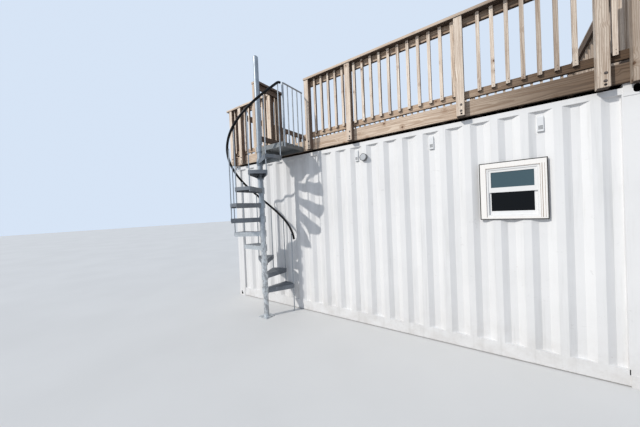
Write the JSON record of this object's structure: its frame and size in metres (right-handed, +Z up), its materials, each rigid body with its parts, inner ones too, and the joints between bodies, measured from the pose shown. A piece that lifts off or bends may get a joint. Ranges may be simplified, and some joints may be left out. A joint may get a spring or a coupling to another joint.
{
  "type": "shipping container cabin",
  "caption": "White shipping container cabin with a railed timber roof deck, reached by a galvanised spiral stair on its long side.",
  "frame": {"origin": "middle of the footprint's box, on the ground", "axes": "+Z up, +X along the container towards its cargo doors; the long wall with the window and the stair faces -Y"},
  "size_m": [6.1, 3.6885, 4.572],
  "materials": {
    "container_paint": "satin",
    "frame_steel": "matte",
    "floor_ply": "satin",
    "deck_timber": "matte",
    "galvanised_steel": "satin",
    "handrail_black": "satin",
    "window_trim": "satin",
    "window_vinyl": "satin",
    "vent_plastic": "satin",
    "lamp_grey": "satin",
    "window_glass": "gloss"
  },
  "bodies": {
    "root": {"corner_castings": "container_paint", "corner_posts": "container_paint", "bottom_side_rails": "container_paint", "end_sills": "container_paint", "cross_members": "frame_steel", "floor_panel": "floor_ply", "top_side_rails": "container_paint", "end_headers": "container_paint", "front_wall": "container_paint", "back_wall": "container_paint", "end_wall": "container_paint", "roof_panel": "container_paint", "door_leaf_front": "container_paint", "door_leaf_back": "container_paint", "lock_bars": "galvanised_steel", "door_hinges": "container_paint", "window_trims": "window_trim", "window_frames": "window_vinyl", "window_sashes": "window_vinyl", "window_panes": "window_glass", "wall_vents": "vent_plastic", "wall_lamp": "lamp_grey", "rim_joists_long": "deck_timber", "rim_joists_end": "deck_timber", "deck_joists": "deck_timber", "deck_boards": "deck_timber", "front_posts": "deck_timber", "back_posts": "deck_timber", "end_posts": "deck_timber", "front_railing_left": "deck_timber", "front_railing_right": "deck_timber", "back_railing": "deck_timber", "end_railing_left": "deck_timber", "end_railing_right": "deck_timber", "cap_rails_long": "deck_timber", "cap_rails_end": "deck_timber", "guard_posts": "deck_timber", "guard_panel": "deck_timber", "guard_cap": "deck_timber", "stair_pole": "galvanised_steel", "pole_cap": "handrail_black", "stair_treads": "galvanised_steel", "stair_balusters": "galvanised_steel", "stair_handrail": "handrail_black", "landing_plate": "galvanised_steel", "landing_guard": "galvanised_steel"}
  },
  "joints": []
}
